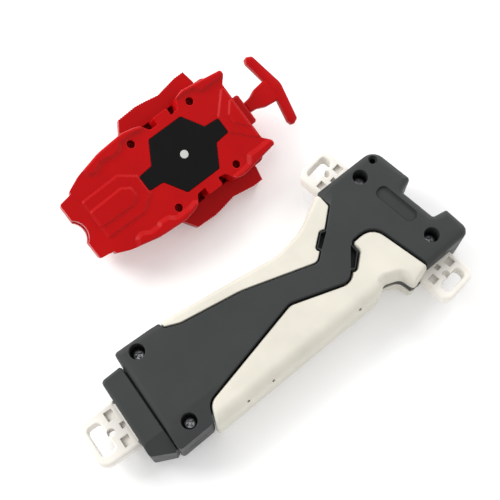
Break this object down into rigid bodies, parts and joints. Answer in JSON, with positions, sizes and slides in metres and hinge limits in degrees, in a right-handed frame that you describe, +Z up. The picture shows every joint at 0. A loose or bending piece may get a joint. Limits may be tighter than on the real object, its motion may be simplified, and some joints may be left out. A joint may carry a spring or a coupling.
{
  "type": "spinning top launcher",
  "caption": "Red string launcher for spinning tops with a T pull handle and a pronged drive, lying beside its detachable grey and white pistol grip with loop connectors.",
  "frame": {"origin": "on the table under the middle of the grip's handle", "axes": "+X along the handle from butt to head and along the pull of the string, +Y from the grip to the launcher, +Z up from the table"},
  "size_m": [0.1973, 0.1693, 0.0417],
  "materials": {
    "cover_grey": "satin moulded",
    "panel_white": "satin moulded",
    "launcher_red": "satin moulded",
    "plate_black": "matt",
    "drive_white": "natural moulded",
    "screw_steel": "blackened steel",
    "string": "braided cord"
  },
  "bodies": {
    "grip": {"grip_cover_upper": "cover_grey", "grip_cover_lower": "cover_grey", "front_panel_upper": "panel_white", "front_panel_lower": "panel_white", "back_panel_upper": "panel_white", "back_panel_lower": "panel_white", "butt_cap": "cover_grey", "butt_connector": "panel_white", "front_connector": "panel_white", "rear_connector": "panel_white", "grip_screws": "screw_steel"},
    "launcher_case": {"launcher_top_shell": "launcher_red", "launcher_base_shell": "launcher_red", "centre_plate": "plate_black", "string_guide": "launcher_red", "launcher_screws": "screw_steel", "shaft_bush_upper": "drive_white", "shaft_bush_lower": "drive_white", "spring_cup": "drive_white", "return_spring": "screw_steel", "clutch_spring": "screw_steel"},
    "pull_handle": {"pull_handle": "launcher_red", "pull_string": "string", "string_knot": "string"},
    "reel": {"string_reel": "drive_white", "string_winding": "string"},
    "drive": {"drive_shaft": "drive_white", "drive_hub": "drive_white", "shaft_clip": "screw_steel"},
    "clutch": {"clutch_ring": "drive_white"}
  },
  "joints": [
    {"name": "launcher_lift", "type": "slide", "parent": "grip", "child": "launcher_case", "axis": [0, 0, 1], "range_m": [0, 0.12]},
    {"name": "pull_slide", "type": "slide", "parent": "launcher_case", "child": "pull_handle", "axis": [1, 0, 0], "range_m": [0, 0.45], "stiffness_N_per_m": 6, "springref_m": -0.3},
    {"name": "reel_spin", "type": "hinge", "parent": "launcher_case", "child": "reel", "pos_m": [0.0096, 0.0897, 0.00329], "axis": [0, -0.342, 0.9397], "range_deg": [0, 2160]},
    {"name": "drive_spin", "type": "hinge", "parent": "launcher_case", "child": "drive", "pos_m": [0.0096, 0.0897, 0.00329], "axis": [0, -0.342, 0.9397], "range_deg": [0, 2160]},
    {"name": "clutch_slip", "type": "slide", "parent": "drive", "child": "clutch", "axis": [0, 0.342, -0.9397], "range_m": [0, 0.0009], "stiffness_N_per_m": 400, "springref_m": -0.001, "deforming": ["clutch_spring"]}
  ],
  "couplings": [
    {"joint": "reel_spin", "follows": "pull_slide", "rad_per_m": 83.333},
    {"joint": "drive_spin", "follows": "pull_slide", "rad_per_m": 83.333}
  ]
}
